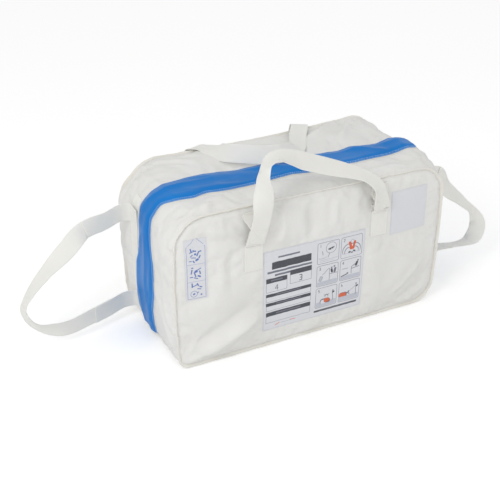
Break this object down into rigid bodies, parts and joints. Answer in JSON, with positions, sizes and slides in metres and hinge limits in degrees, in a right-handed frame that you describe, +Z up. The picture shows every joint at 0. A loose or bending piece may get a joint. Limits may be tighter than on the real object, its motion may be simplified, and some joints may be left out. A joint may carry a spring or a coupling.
{
  "type": "liferaft valise",
  "caption": "Packed soft valise for an inflatable liferaft, with a closure flap over the top, bound seams, webbing carrying handles and sewn labels.",
  "frame": {"origin": "middle of the flat base that the valise rests on", "axes": "+X along the length towards the viewer's right, +Z up, and the labelled front panel faces -Y"},
  "size_m": [1.3337, 0.4717, 0.5268],
  "materials": {
    "body_cloth": "white coated cloth, soft satin",
    "flap_cloth": "blue coated cloth, glossy",
    "binding_tape": "off-white woven tape, matt",
    "webbing": "off-white ribbed webbing, matt",
    "printed_label": "printed label film, soft sheen"
  },
  "bodies": {
    "root": {"packed_body": "body_cloth", "closure_flap": "flap_cloth", "front_binding": "binding_tape", "rear_binding": "binding_tape", "front_handle_patch_left": "webbing", "front_handle_tab_left": "webbing", "front_handle_patch_right": "webbing", "front_handle_tab_right": "webbing", "rear_handle_patch_left": "webbing", "rear_handle_tab_left": "webbing", "rear_handle_patch_right": "webbing", "rear_handle_tab_right": "webbing", "front_handle": "webbing", "rear_handle": "webbing", "left_anchor_strip": "webbing", "left_upper_tab": "webbing", "left_lower_tab": "webbing", "left_side_handle": "webbing", "right_anchor_strip": "webbing", "right_upper_tab": "webbing", "right_lower_tab": "webbing", "right_side_handle": "webbing", "main_label": "printed_label", "side_label": "printed_label", "corner_patch": "printed_label"}
  },
  "joints": []
}
